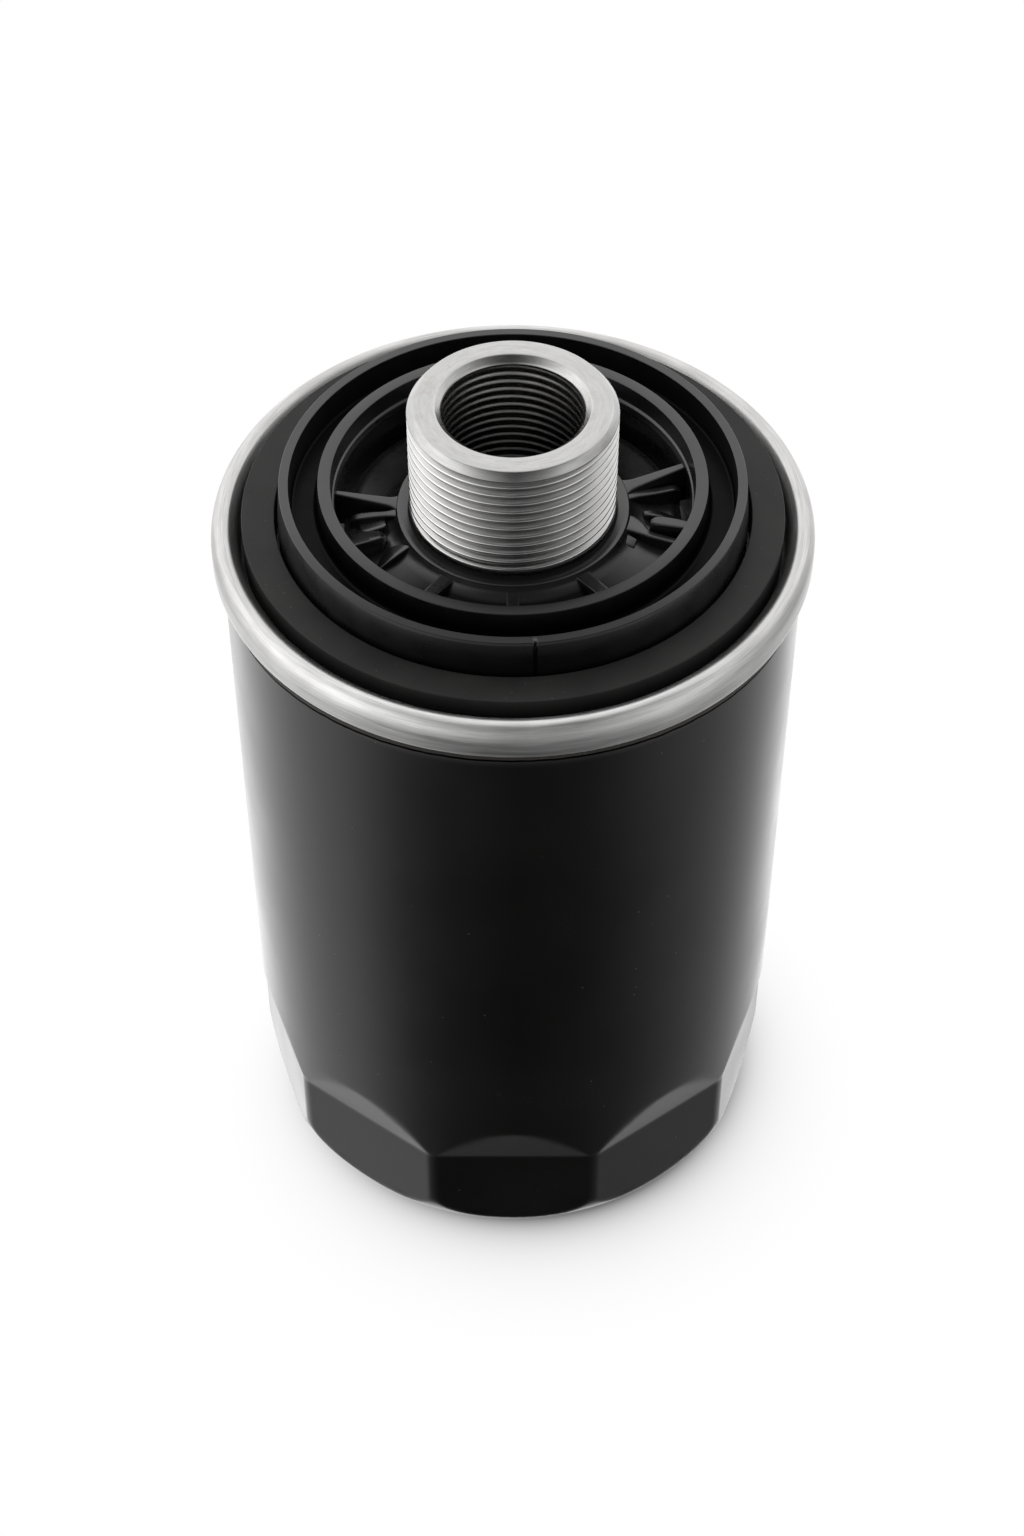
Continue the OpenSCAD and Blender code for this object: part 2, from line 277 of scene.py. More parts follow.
def can_paint():
    """Black satin paint on drawn steel: dust, hairlines, a dull chipped strip under the seam, a painted
    shadow line below that strip, and painted shade at the foot.
    """
    g = Graph("can_paint")
    haze = g.noise(g.mm, 0.05, 3.0)
    dust = g.specks(0.55, 0.07, 0.2)
    hair = g.math("ADD", g.scratches((0.3, 0.9, 0.4)), g.scratches((1.2, 0.2, 1.9)))
    marks = g.math("MINIMUM", g.math("ADD", g.product(dust, 0.35), g.product(hair, 0.2)), 1.0)

    sag = g.product(g.x, g.x, STRIP_SAG / CAN_R ** 2)
    below = g.math("SUBTRACT", SEAM + STRIP_TOP, g.math("ADD", g.z, sag))     # mm below the strip's top
    chips = g.product(g.between(below, 0.2, 1.0, 1.0, 0.0),
                      g.between(g.noise(g.mm, 1.1, 4.0, 0.7), 0.62, 0.68))
    edge = g.math("ADD", below, g.product(g.noise(g.mm, 0.5, 3.0), 0.3))
    strip = g.between(edge, 0.7, 0.78, 1.0, 0.0)
    # painted shadow: a black line below the strip, under the seam, which also loses its gloss
    line = g.math("SUBTRACT", g.between(edge, 1.04, 1.1, 1.0, 0.0), strip)

    colour = g.mix(marks, grey(0.0016, 0.06), grey(0.16, 0.05))
    colour = g.mix(chips, colour, grey(0.2, 0.12))
    colour = g.mix(g.product(strip, 0.8), colour, grey(0.04, 0.1))
    colour = g.mix(line, colour, grey(0.0))
    rough = g.math("ADD", g.between(haze, 0.35, 0.65, 0.2, 0.26), g.product(marks, 0.3))
    g.bump(g.noise(g.mm, 0.9, 2.0), 0.06, 0.05)
    gloss = g.math("SUBTRACT", 0.8, g.math("ADD", g.product(strip, 0.5), g.product(line, 0.78)))
    # painted shade: the paint loses its gloss low down at the foot, so the base's edge stays dark
    foot = g.product(g.between(g.radius(), FLAT_R + 0.1, FLAT_R + 0.4),
                     g.between(g.z, 0.5, 2.5, 0.9, 0.0))
    gloss = g.product(gloss, g.math("SUBTRACT", 1.0, foot))
    return g.set(Base_Color=colour, Roughness=rough, Specular_IOR_Level=gloss)


def zinc(base=0.74, rough=0.36):
    """Zinc-plated sheet, brushed round the axis, with painted light that makes it lighter at the front.
    """
    g = Graph("seam_zinc")
    fine = g.around(7.0, 9.0)
    broad = g.around(3.0, 1.4)
    cloud = g.noise(g.mm, 0.18, 3.0)
    # painted light: the zinc is lighter at the front and darker away from it
    painted_front_light = g.between(g.y, -37.0, -18.0, 1.12, 0.84)       # away from the front
    tone = g.math("ADD", g.between(fine, 0.25, 0.75, 0.76, 1.16),
                  g.between(broad, 0.3, 0.7, -0.16, 0.14))
    tone = g.product(tone, g.between(cloud, 0.3, 0.7, 0.93, 1.05), painted_front_light)
    colour = g.mix(g.between(tone, 0.6, 1.3), grey(base * 0.6, 0.012), grey(base * 1.3, 0.004))
    g.bump(fine, 0.25, 0.02)
    return g.set(Base_Color=colour, Metallic=1.0,
                 Roughness=g.between(broad, 0.2, 0.8, rough - 0.05, rough + 0.08))


def turned_steel(base=0.54, rough=0.19):
    """Turned steel with fine tool marks, pits and warm stains, painted highlights on the thread's
    crests, and painted shade in its roots and down the bore.
    """
    g = Graph("nipple_steel")
    fine = g.around(10.0, 12.0)
    broad = g.around(4.0, 2.2)
    pits = g.specks(1.4, 0.12, 0.12)
    stain = g.between(g.noise(g.mm, 0.32, 4.0, 0.65), 0.56, 0.72)
    tone = g.math("ADD", g.between(fine, 0.25, 0.75, 0.91, 1.05),
                  g.between(broad, 0.3, 0.7, -0.07, 0.07))
    colour = g.mix(g.between(tone, 0.6, 1.3), grey(base * 0.55, 0.02), grey(base * 1.28, 0.004))
    colour = g.mix(g.product(stain, 0.28), colour, (0.36, 0.3, 0.25, 1.0))
    colour = g.mix(g.product(pits, 0.45), colour, grey(0.16, 0.08))
    r = g.radius()
    end = SEAM + NIPPLE_TOP
    # painted shade: the bore is darker towards its bottom
    bore = g.product(g.math("LESS_THAN", r, BORE_R + 0.57),
                     g.between(g.z, SEAM + THREAD_LOW + 0.1, SEAM + 18.0, 0.45, 0.0))
    colour = g.mix(bore, colour, grey(0.02, 0.1))
    thread = g.product(g.between(g.z, SEAM + THREAD_LOW - 0.1, SEAM + THREAD_LOW + 0.1),
                       g.between(g.z, end - 1.3, end - 1.0, 1.0, 0.0))
    # painted shade: the thread's roots are painted dark
    root = g.product(g.math("GREATER_THAN", r, CREST_R - 1.5),
                     g.between(r, CREST_R - 0.62, CREST_R - 0.48, 1.0, 0.0))
    colour = g.mix(g.product(thread, root, 0.7), colour, grey(0.05, 0.05))
    # painted highlight: the thread's crests are painted bright
    crest = g.between(r, CREST_R - 0.16, CREST_R - 0.03)
    colour = g.mix(g.product(thread, crest, 0.7), colour, grey(0.95, 0.004))
    g.bump(fine, 0.08, 0.03)
    return g.set(Base_Color=colour, Metallic=1.0,
                 Roughness=g.between(fine, 0.2, 0.8, rough - 0.04, rough + 0.1))


def rubber(name="gasket_rubber", base=0.008, rough=0.5):
    """Matte moulded rubber with pale dust caught on it."""
    g = Graph(name)
    grain = g.noise(g.mm, 6.0, 3.0, 0.6)
    bloom = g.noise(g.mm, 0.14, 3.0)
    dust = g.math("ADD", g.specks(1.3, 0.09, 0.22), g.product(g.specks(2.6, 0.1, 0.1), 0.6))
    colour = g.mix(g.between(bloom, 0.3, 0.7), grey(base * 0.8), grey(base * 1.35, 0.03))
    colour = g.mix(g.product(dust, 0.5), colour, grey(0.2, 0.04))
    g.bump(grain, 0.25, 0.03)
    return g.set(Base_Color=colour, Roughness=g.between(grain, 0.2, 0.8, rough - 0.06, rough + 0.08),
                 Specular_IOR_Level=0.28)


def moulded(base=0.003, rough=0.29):
    """Black glass-filled nylon: a fine moulded grain, scuffed tops with painted shade towards the front,
    and painted shade in the recesses.
    """
    g = Graph("insert_plastic")
    grain = g.noise(g.mm, 5.0, 3.0, 0.6)
    patch = g.noise(g.mm, 0.3, 3.0)
    dust = g.specks(0.9, 0.08, 0.12)
    r = g.radius()
    # painted shade: the channel, the pockets at the front and the outer ring's wall at the front are
    # painted near black and lose most of their gloss
    channel = g.product(g.within(r, *CHANNEL_R), g.between(g.z, SEAM + 6.0, SEAM + 6.5, 1.0, 0.0))
    pockets = g.product(g.within(r, *POCKETS_R), g.between(g.y, -14.0, -5.0, 1.0, 0.0),
                        g.between(g.z, SEAM + 0.6, SEAM + 1.3, 1.0, 0.0))
    wall = g.product(g.between(r, 28.6, 28.8), g.between(g.y, -29.0, -18.0, 0.7, 0.0),
                     g.between(g.z, SEAM + 6.2, SEAM + 6.5, 1.0, 0.0))
    painted_recess_shade = g.math("MAXIMUM", g.math("MAXIMUM", channel, pockets), wall)
    colour = g.mix(g.between(patch, 0.3, 0.7), grey(base * 0.85), grey(base * 1.25))
    colour = g.mix(g.product(dust, 0.4), colour, grey(0.2, 0.04))
    colour = g.mix(painted_recess_shade, colour, grey(0.001))
    g.bump(grain, 0.2, 0.02)
    top = g.between(g.z, SEAM + RING_TOP - 0.15, SEAM + RING_TOP - 0.05)
    # painted shade: the tops keep less of their gloss towards the front; they are also scuffed a little
    # rougher
    kept = g.math("SUBTRACT", 1.0, g.product(top, g.between(g.y, -25.0, -10.0, 0.6, 0.06)))
    return g.set(Base_Color=colour,
                 Specular_IOR_Level=g.product(kept, g.between(painted_recess_shade, 0.0, 1.0, 0.95, 0.06)),
                 Roughness=g.math("ADD", g.product(top, 0.08),
                                  g.between(patch, 0.3, 0.7, rough - 0.04, rough + 0.06)))


def paper():
    """Resin-treated filter paper with fibres."""
    g = Graph("paper")
    drawn = g.node("ShaderNodeMapping", {"Vector": g.mm, "Scale": (1.0, 1.0, 0.15)}).outputs[0]
    fibre = g.noise(drawn, 3.0, 5.0, 0.7)
    colour = g.mix(g.between(fibre, 0.3, 0.7), (0.5, 0.27, 0.08, 1.0), (0.75, 0.48, 0.2, 1.0))
    g.bump(fibre, 0.3, 0.05)
    return g.set(Base_Color=colour, Roughness=0.9)


def sheet_metal(name, colour, rough=0.35):
    """Pressed or drawn metal: a mottled tone and drawing marks."""
    g = Graph(name)
    mottle = g.noise(g.mm, 0.5, 4.0, 0.6)
    marks = g.around(5.0, 6.0)
    dark = tuple(c * 0.7 for c in colour) + (1.0,)
    tone = g.mix(g.product(g.between(mottle, 0.3, 0.7), g.between(marks, 0.2, 0.8, 0.6, 1.0)),
                 dark, colour + (1.0,))
    g.bump(marks, 0.15, 0.02)
    return g.set(Base_Color=tone, Metallic=1.0,
                 Roughness=g.between(mottle, 0.3, 0.7, rough - 0.06, rough + 0.1))


def soft_filler(name, colour, rough=0.6):
    """Potting or sealant, poured and slightly uneven."""
    g = Graph(name)
    blotch = g.noise(g.mm, 0.7, 4.0)
    tone = g.mix(g.between(blotch, 0.3, 0.7), tuple(c * 0.75 for c in colour) + (1.0,), colour + (1.0,))
    g.bump(blotch, 0.3, 0.1)
    return g.set(Base_Color=tone, Roughness=rough)


# ---------------------------------------------------------------- the can

CAN_R = 36.8
CAN_T = 0.6
FLAT_COUNT = 10
FLAT_R = 35.1
FLAT_TOP = 15.4            # above the base
SHOULDER_TOP = 23.2        # above the base
FLAT_CORNER = 3.0          # rounding of the upright edges between flats
PANEL_Z = 1.2              # height of the panel raised in the base
BASE_ROUND = 10.0          # radius of the arc that draws the wall in towards the base
BASE_RISE = 5.7            # height of that arc's centre
FOOT_TURN = 0.2            # tight bend at the foot


def smaller(a, b, width):
    """The smaller of a and b, blended over a width."""
    h = max(0.0, min(1.0, 0.5 + 0.5 * (b - a) / width))
    return b + (a - b) * h - width * h * (1 - h)


def eased(x, width):
    """0 below 0 and x above it, blended over a width."""
    return -smaller(-x, 0.0, width)


def flat_radius(azimuth, apothem):
    """Radius of a decagon with rounded corners, one flat of which faces -Y."""
    half = math.pi / FLAT_COUNT
    off = (azimuth + math.pi / 2 + half) % (2 * half) - half      # from the middle of the nearest flat
    corner = half - abs(off)
    centre = (apothem - FLAT_CORNER) / math.cos(half)
    tangent = half - math.atan((apothem - FLAT_CORNER) * math.tan(half) / apothem)
    if corner > tangent:
        return apothem / math.cos(off)
    return centre * math.cos(corner) + math.sqrt(FLAT_CORNER ** 2 - (centre * math.sin(corner)) ** 2)


def can_radius(azimuth, z, inset):
    """Radius of the can's outside, or of its inside with the sheet's thickness as inset."""
    slope = (CAN_R - FLAT_R) / (SHOULDER_TOP - FLAT_TOP)
    apothem = FLAT_R + slope * eased(z - FLAT_TOP, 0.5)
    drop = max(0.0, BASE_RISE - z)
    round_r = CAN_R - BASE_ROUND + math.sqrt((BASE_ROUND - inset) ** 2 - drop ** 2)
    return smaller(flat_radius(azimuth, apothem) - inset, round_r, 0.14)


def build_can(material):
    half = 180 / FLAT_COUNT
    # columns in degrees from a corner between two flats, closest together at the corner
    offsets = [0, 0.4, 0.8, 1.2, 1.6, 2.0, 2.5, 3.2, 4.2, 5.6, 7.5, 10, 12.5, 15.2]
    sector = sorted({half - o for o in offsets} | {o - half for o in offsets[1:]} | {0})
    azimuths = [math.radians(-90 + 2 * half * k + o) for k in range(FLAT_COUNT) for o in sector]
    columns = len(azimuths)
    rim = SEAM - RIM_DEPTH
    heights = [FOOT_TURN, 0.5, 0.9, 1.3, 1.7, 2.2, 2.7, 3.2, 3.8, 4.4, 5.0, BASE_RISE, 6.5, 8, 11, 13.5]
    heights += [14.4 + 0.25 * k for k in range(38)] + [26, 30]
    heights += [30 + (rim - 30) * k / 12 for k in range(1, 13)]

    def wall(inset):
        made = []
        for z in heights:
            level = inset + z * (rim - inset) / rim
            made.append([polar(can_radius(a, level, inset), a, level) for a in azimuths])
        return made

    def floor_rows(inset):
        """From the middle out: the raised panel, its step, and the ring that the can stands on."""
        panel = [(6, PANEL_Z), (12, PANEL_Z), (17.4 + inset, PANEL_Z)]
        step = [(18.0 + inset, 1.1), (18.4 + inset, 0.85), (19.9 + inset, 0.15), (20.3 + inset, 0.02)]
        ring = [(20.9 + inset, 0), (24, 0), (28, 0), (32, 0)]
        foot = [polar(can_radius(a, inset + FOOT_TURN, inset) - FOOT_TURN, a, inset) for a in azimuths]
        return [[polar(r, a, z + inset) for a in azimuths] for r, z in panel + step + ring] + [foot]

    outer_rows = list(reversed(wall(0.0))) + list(reversed(floor_rows(0.0)))
    inner_rows = floor_rows(CAN_T) + wall(CAN_T)
    rows = outer_rows + inner_rows
    points = [p for row in rows for p in row]
    faces = []
    for i in range(len(rows)):
        k = (i + 1) % len(rows)
        if i == len(outer_rows) - 1:
            continue
        for j in range(columns):
            l = (j + 1) % columns
            faces.append((i * columns + j, k * columns + j, k * columns + l, i * columns + l))
    for row, level, turn in ((len(outer_rows) - 1, PANEL_Z, 1), (len(outer_rows), PANEL_Z + CAN_T, -1)):
        middle = len(points)
        points.append((0, 0, level * MM))
        for j in range(columns):
            l = (j + 1) % columns
            ring = (row * columns + j, middle, row * columns + l)
            faces.append(ring if turn > 0 else ring[::-1])
    new_piece("can_shell", points, faces, "housing", "can", "can_paint", material)


# ---------------------------------------------------------------- seam lid and gasket

def ellipse(r, z, rx, rz, start, end, steps=10):
    """Points on an ellipse about (r, z), from one angle in degrees to another."""
    angles = [math.radians(start + (end - start) * k / steps) for k in range(steps + 1)]
    return [(r + rx * math.cos(angle), z + rz * math.sin(angle)) for angle in angles]


def build_seam(material):
    sheet = 0.7                # thickness
    crown = 36.4               # radius of the bead's highest ring
    points = ([(30.0, -3.9), (30.0, -3.2), (34.3, -3.2), (34.6, -2.9), (34.6, -0.35), (34.66, -0.16),
               (35.0, 0.24)]
              + ellipse(crown, 0.1, 1.12, 1.0, 146, 90, 6)
              + ellipse(crown, -1.2, SEAM_R - crown, 2.3, 82, 0)
              + [(SEAM_R, -2.2)]
              + ellipse(SEAM_R - 0.95, -2.95, 0.95, 0.95, 0, -90, 6)
              + [(36.9, -3.9), (36.9, -3.4), (SEAM_R - sheet, -2.9)]
              + ellipse(crown, -1.2, SEAM_R - sheet - crown, 1.6, 0, 90)
              + [(35.7, 0.2), (35.7, -3.9)])
    new_piece("seam_bead", *lathed(subdivided(points, 0.8)), "housing", "seam_lid", "seam_zinc",
              material)


def build_gasket(material):
    points = outline([(29.9, -3.2, 0.3), (34.07, -3.2, 0.3), (34.07, 2.0, 0.16), (29.9, 2.0, 0.16)])

    def wavy(r, z, azimuth):
        """The face is a hair uneven, as moulded rubber is."""
        wave = 0.03 * math.sin(3 * azimuth + 0.5) + 0.02 * math.sin(7 * azimuth + 2)
        return (r + wave * 0.5, z + wave) if z > 0 else (r, z)

    obj = new_piece("gasket_ring", *lathed(subdivided(points, 1.0), shape=wavy), "housing",
                    "outer_gasket", "gasket_rubber", material)
    weigh_normals(obj)


# ---------------------------------------------------------------- plastic insert

CHANNEL_Z = 3.0
SLIT = math.radians(-84.8)            # moulded slit down the outer ring's wall
SLIT_HALF = math.radians(0.42)


def ring_walls():
    """The two ring walls and the channel between them, hollow below like the CAD node."""
    points = outline([
        (22.5, -3.9, 0.2), (24.1, -3.9, 0.2), (24.1, 1.4, 0.6), (27.9, 1.4, 0.6), (27.9, -3.9, 0.2),
        (29.5, -3.9, 0.2), (29.5, 2.0, 1.5), (29.12, RING_TOP, 0.14), (27.92, RING_TOP, 0.12),
        (27.8, CHANNEL_Z, 0.4), (24.6, CHANNEL_Z, 0.6), (24.28, RING_TOP, 0.12), (22.71, RING_TOP, 0.12),
        (22.62, 4.35, 0.25), (22.3, 4.1, 0.35), (22.2, 3.2, 0.35), (22.5, 2.7, 0.3)])

    def from_slit(azimuth):
        """The angle between an azimuth and the slit."""
        return abs((azimuth - SLIT + math.pi) % (2 * math.pi) - math.pi)

    azimuths = [2 * math.pi * j / COLUMNS for j in range(COLUMNS)]
    edges = [SLIT - 2.2 * SLIT_HALF, SLIT - SLIT_HALF, SLIT - 0.75 * SLIT_HALF,
             SLIT + 0.75 * SLIT_HALF, SLIT + SLIT_HALF, SLIT + 2.2 * SLIT_HALF]
    azimuths = sorted([a for a in azimuths if from_slit(a) > 3 * SLIT_HALF]
                      + [e % (2 * math.pi) for e in edges])

    def slit(r, z, azimuth):
        if from_slit(azimuth) < 0.8 * SLIT_HALF and r > 28.4 and z > -0.5:
            return r - 0.45, z - (0.25 if z > RING_TOP - 0.1 else 0)
        return r, z

    return lathed(subdivided(points, 1.2), azimuths, slit)


def hub_and_bowl():
    """The hub's collar and the bowl that spreads from it to the inlet slot."""
    bowl = ellipse(20.4, 2.4, 5.8, 2.6, -90, -168, 14)
    points = ([(12.4, 1.75), (12.85, 1.4), (12.85, -3.9), (14.8, -3.9), (14.8, -1.6), (21.2, -1.6),
               (21.25, -0.62), (21.1, -0.5), (20.6, -0.48), (20.45, -0.25)] + bowl
              + [(14.62, 1.98), (14.58, 2.1), (14.46, 2.16), (14.0, 2.14), (13.3, 2.1), (12.5, 2.06)])
    return lathed(subdivided(points, 1.2))


def smooth_path(stations, steps):
    """Rows of numbers drawn smoothly through the given rows."""
    rows = []
    last = len(stations) - 1
    for i in range(last):
        before, start, end, after = (stations[max(0, min(last, k))] for k in (i - 1, i, i + 1, i + 2))
        for k in range(steps + (i == last - 1)):
            t = k / steps
            rows.append([0.5 * (2 * p + (q - o) * t + (2 * o - 5 * p + 4 * q - n) * t * t
                                + (3 * p - o - 3 * q + n) * t ** 3)
                         for o, p, q, n in zip(before, start, end, after)])
    return rows


def web(*stations, bottom=-1.5, steps=6, edge=0.22):
    """A moulded rib or vane between the hub and the ring.

    Each station is (radius, azimuth and height of its left edge, the same of its right edge)."""
    points = []
    rows = smooth_path(stations, steps)
    for r, a0, z0, a1, z1 in rows:
        turn0, turn1 = math.radians(a0), math.radians(a1)
        width = abs(turn1 - turn0) * r
        inset = min(edge, 0.35 * width) / max(width, 1e-6)
        across = [(0, bottom), (0, z0 - edge), (inset * 0.3, z0 + (z1 - z0) * inset * 0.3 - edge * 0.3)]
        across += [(t, z0 + (z1 - z0) * t) for t in (inset, 0.3, 0.5, 0.7, 1 - inset)]
        across += [(1 - inset * 0.3, z1 + (z0 - z1) * inset * 0.3 - edge * 0.3), (1, z1 - edge),
                   (1, bottom)]
        points += [polar(r, turn0 + (turn1 - turn0) * t, SEAM + z) for t, z in across]
    section = len(points) // len(rows)
    faces = quads(len(rows), section, closed=False)
    faces.append(tuple(reversed(range(section))))
    faces.append(tuple((len(rows) - 1) * section + j for j in range(section)))
    if stations[0][3] < stations[0][1]:
        faces = [f[::-1] for f in faces]
    return points, faces


def rib(azimuth, z_hub=1.7, z_ring=3.6, w_hub=2.0, w_ring=1.2, flare=0.8, r0=14.2, r1=22.75):
    """A straight rib that flares where it meets the hub."""
    stations = []
    for t in (0, 0.06, 0.14, 0.3, 0.65, 1):
        r = r0 + (r1 - r0) * t
        half = (w_hub + (w_ring - w_hub) * t) / 2 + flare * max(0.0, 1 - t / 0.2) ** 2
        off = math.degrees(half / r)
        z = z_hub + (z_ring - z_hub) * t
        stations.append((r, azimuth - off, z, azimuth + off, z))
    return web(*stations, steps=3)


def build_insert(material):
    webs = [
        rib(-90, 1.35, 2.6, 1.7, 1.5, 0.3), rib(-123, 1.5, 2.6, 1.9, 1.6, 0.4),
        rib(-54.5, 1.6, 2.6, 1.9, 1.7, 0.4),
        rib(60), rib(90), rib(120),
        rib(177.3, 1.95, 3.5, 1.9, 0.8, 0.7), rib(14.3, 1.95, 4.1, 2.1, 1.0, 0.7),
        # the two ribs that stop short of the ring and sink
        web((14.2, 180.3, 1.9, 187.5, 1.9), (14.9, 181.0, 1.85, 186.3, 1.8),
            (16, 181.6, 1.7, 185.4, 1.65), (18, 181.6, 1.6, 185.2, 1.5), (19.8, 181.7, 1.3, 184.9, 1.2),
            (20.5, 182.6, 0.7, 184.2, 0.6)),
        web((14.2, 5.0, 1.9, 12.6, 1.9), (14.9, 6.0, 1.85, 12.0, 1.85), (16, 7.0, 1.8, 11.9, 1.8),
            (18.5, 7.8, 1.8, 11.8, 1.8), (20.6, 8.4, 1.9, 11.6, 1.9), (21.4, 8.9, 1.5, 11.2, 1.5)),
        # vanes on the left: a lobed ramp from the ring, and a flap that flares from the hub
        web((16.5, -167, 0.9, -163, 1.3), (17.0, -170, 0.9, -160, 1.9), (17.6, -171, 0.8, -159.3, 2.3),
            (19.5, -172, 0.6, -158.6, 2.5), (22.75, -173, 0.2, -158, 2.7)),
        web((16.1, -175, 1.1, -169, 1.5), (16.8, -176, 1.0, -168, 1.5), (19.5, -176, 0.4, -168, 1.0)),
        web((14.2, -166, 0.6, -150.5, 1.9), (15.2, -164, 0.4, -150, 1.8), (17.2, -158, 0.2, -149.6, 1.2),
            (19.2, -153, -0.3, -149.3, 0.4)),
        # vanes on the right: a wide web that narrows to a thin rib, a bar from the ring, and two flaps
        web((14.2, -16.8, 1.9, -4.5, 1.9), (15.2, -16.6, 1.85, -5.5, 1.7), (16.4, -16.6, 1.7, -8, 1.5),
            (17.2, -16.6, 1.6, -11.5, 1.4), (18.4, -16.8, 1.5, -13.2, 1.4),
            (22.75, -17.2, 1.3, -14.8, 1.3)),
        web((17.4, -12.0, 2.1, -8.6, 2.2), (18.2, -12.4, 2.45, -7.4, 2.5), (20, -12.6, 2.6, -7.8, 2.6),
            (22.75, -12.8, 2.7, -9.2, 2.7)),
        web((16.4, -2.0, 0.7, 1.5, 0.9), (17.4, -3.2, 1.3, 2.0, 0.9), (19, -3.6, 1.2, 1.6, 0.5),
            (20.6, -3.4, 0.4, 0.8, -0.2)),
        web((14.2, -24.5, 1.5, -17.5, 1.6), (15.2, -24, 1.2, -17.2, 1.4), (16.3, -23, 0.6, -18, 1.1)),
    ]
    obj = new_piece("insert_moulding", *joined(ring_walls(), hub_and_bowl(), *webs), "housing",
                    "plastic_insert", "insert_plastic", material)
    weigh_normals(obj)


# ---------------------------------------------------------------- threaded nipple

OUTER_PITCH = 1.34
INNER_PITCH = 1.23
CREST_R = 13.0
BORE_R = 8.73
THREAD_LOW = 2.9           # where the outer thread starts
THREAD_DEPTH = 0.7
BORE_THREAD_DEPTH = 0.16


def thread_wave(position, crest, root):
    """0 at the crest to 1 at the root of a 60 degree thread, at a position in pitches."""
    off = abs((position + 0.5) % 1 - 0.5) * 2
    value = (off - crest) / (1 - crest - root)
    value = max(0.0, min(1.0, value))
    return value * value * (3 - 2 * value) * 0.35 + value * 0.65


def build_nipple(material):
    end = NIPPLE_TOP
    thread_top = end - 0.92
    bore_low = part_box("threaded_nipple")[0].z / MM - SEAM
    azimuths = [2 * math.pi * j / COLUMNS for j in range(COLUMNS)]

    def outside(z, azimuth):
        turns = (z - 16.53) / OUTER_PITCH - (azimuth + math.pi / 2) / (2 * math.pi)
        fade = min(1.0, max(0.0, (thread_top - 0.1 - z) / 0.25), max(0.0, (z - THREAD_LOW) / 0.5))
        return CREST_R - THREAD_DEPTH * thread_wave(turns, 0.1, 0.18) * fade

    def inside(z, azimuth):
        turns = (z - 17.0) / INNER_PITCH - (azimuth - math.pi / 2) / (2 * math.pi)
        fade = min(1.0, max(0.0, (end - 0.95 - z) / 0.4), max(0.0, (z - bore_low) / 0.6))
        return BORE_R + BORE_THREAD_DEPTH * thread_wave(turns, 0.3, 0.1) * fade

    rows = []
    z = THREAD_LOW
    while z < thread_top - 0.05:
        rows.append([(outside(z, a), z) for a in azimuths])
        z += OUTER_PITCH / 14
    head = [(12.92, thread_top), (12.86, thread_top + 0.1), (12.28, end - 0.12), (12.18, end - 0.03),
            (12.05, end), (11.3, end), (10.5, end), (9.75, end), (9.6, end - 0.03), (9.5, end - 0.12),
            (8.95, end - 0.66), (BORE_R, end - 0.88)]
    rows += [[(r, h)] * len(azimuths) for r, h in head]
    z = end - 0.95
    while z > bore_low + 0.05:
        rows.append([(inside(z, a), z) for a in azimuths])
        z -= INNER_PITCH / (12 if z > -1 else 5)
    tail = [(BORE_R, bore_low), (10.6, bore_low), (10.6, -9.6), (15.2, -9.6), (15.2, -7.4), (12.7, -7.4),
            (12.7, 1.4), (12.2, 1.7), (12.2, THREAD_LOW - 0.25)]
    rows += [[(r, h)] * len(azimuths) for r, h in tail]
    points = [polar(r, a, SEAM + h) for row in rows for (r, h), a in zip(row, azimuths)]
    new_piece("nipple_threads", points, quads(len(rows), len(azimuths)), "housing",
              "threaded_nipple", "nipple_steel", material)


# ---------------------------------------------------------------- soft and springy inner pieces

def build_coil(name, node, r0, r1, wire, turns, body, material):
    """A round wire spring with its end turns lying flat."""
    bottom, top = (corner.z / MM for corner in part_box(node))
    low, high = bottom + wire, top - wire
    resting = 0.75             # turns lying flat at each end
    steps, sides = 48, 14
    last = turns * steps
    pitch = (high - low) / (turns - 2 * resting)
    points = []
    for i in range(last + 1):
        t = i / steps
        z = low + pitch * (eased(t - resting, 0.2) - eased(t - turns + resting, 0.2))
        tip = min(i, last - i)
        thick = wire * (1.0 if tip > 1 else (0.7, 0.95)[tip])
        for k in range(sides):
            b = 2 * math.pi * k / sides
            points.append(polar(r0 + (r1 - r0) * t / turns + thick * math.cos(b), 2 * math.pi * t,
                                z + thick * math.sin(b)))
    faces = quads(last + 1, sides, closed=False)
    faces += [tuple(range(sides)), tuple(reversed(range(last * sides, (last + 1) * sides)))]
    obj = new_piece(name, points, faces, body, node, "spring_steel", material)
    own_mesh(obj)


def build_valve(material):
    """The rubber diaphragm."""
    low, lip = (corner.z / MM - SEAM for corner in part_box("anti_drain_valve"))
    points = outline([(15.7, low, 0.25), (19.0, low, 0.2), (19.0, low + 1.3, 0.4),
                      (23.6, lip - 1.1, 0.8), (26.5, lip - 1.0, 0.2), (26.5, lip, 0.25),
                      (22.7, lip, 0.3), (17.6, low + 2.0, 0.6), (15.7, low + 2.0, 0.25)])
    obj = new_piece("drain_diaphragm", *lathed(subdivided(points, 0.9)), "drain_valve",
                    "anti_drain_valve", "valve_rubber", material)
    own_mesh(obj)


# ---------------------------------------------------------------- everything

build_can(can_paint())
build_seam(zinc())
build_gasket(rubber())
build_insert(moulded())
build_nipple(turned_steel())
build_valve(rubber("valve_rubber", 0.03))
wire_steel = sheet_metal("spring_steel", (0.28, 0.28, 0.29))
build_coil("element_coil", "element_spring", r0=22.6, r1=18.6, wire=1.0, turns=4, body="housing",
           material=wire_steel)
build_coil("bypass_coil", "bypass_spring", r0=5.2, r1=5.2, wire=0.5, turns=6, body="element",
           material=wire_steel)

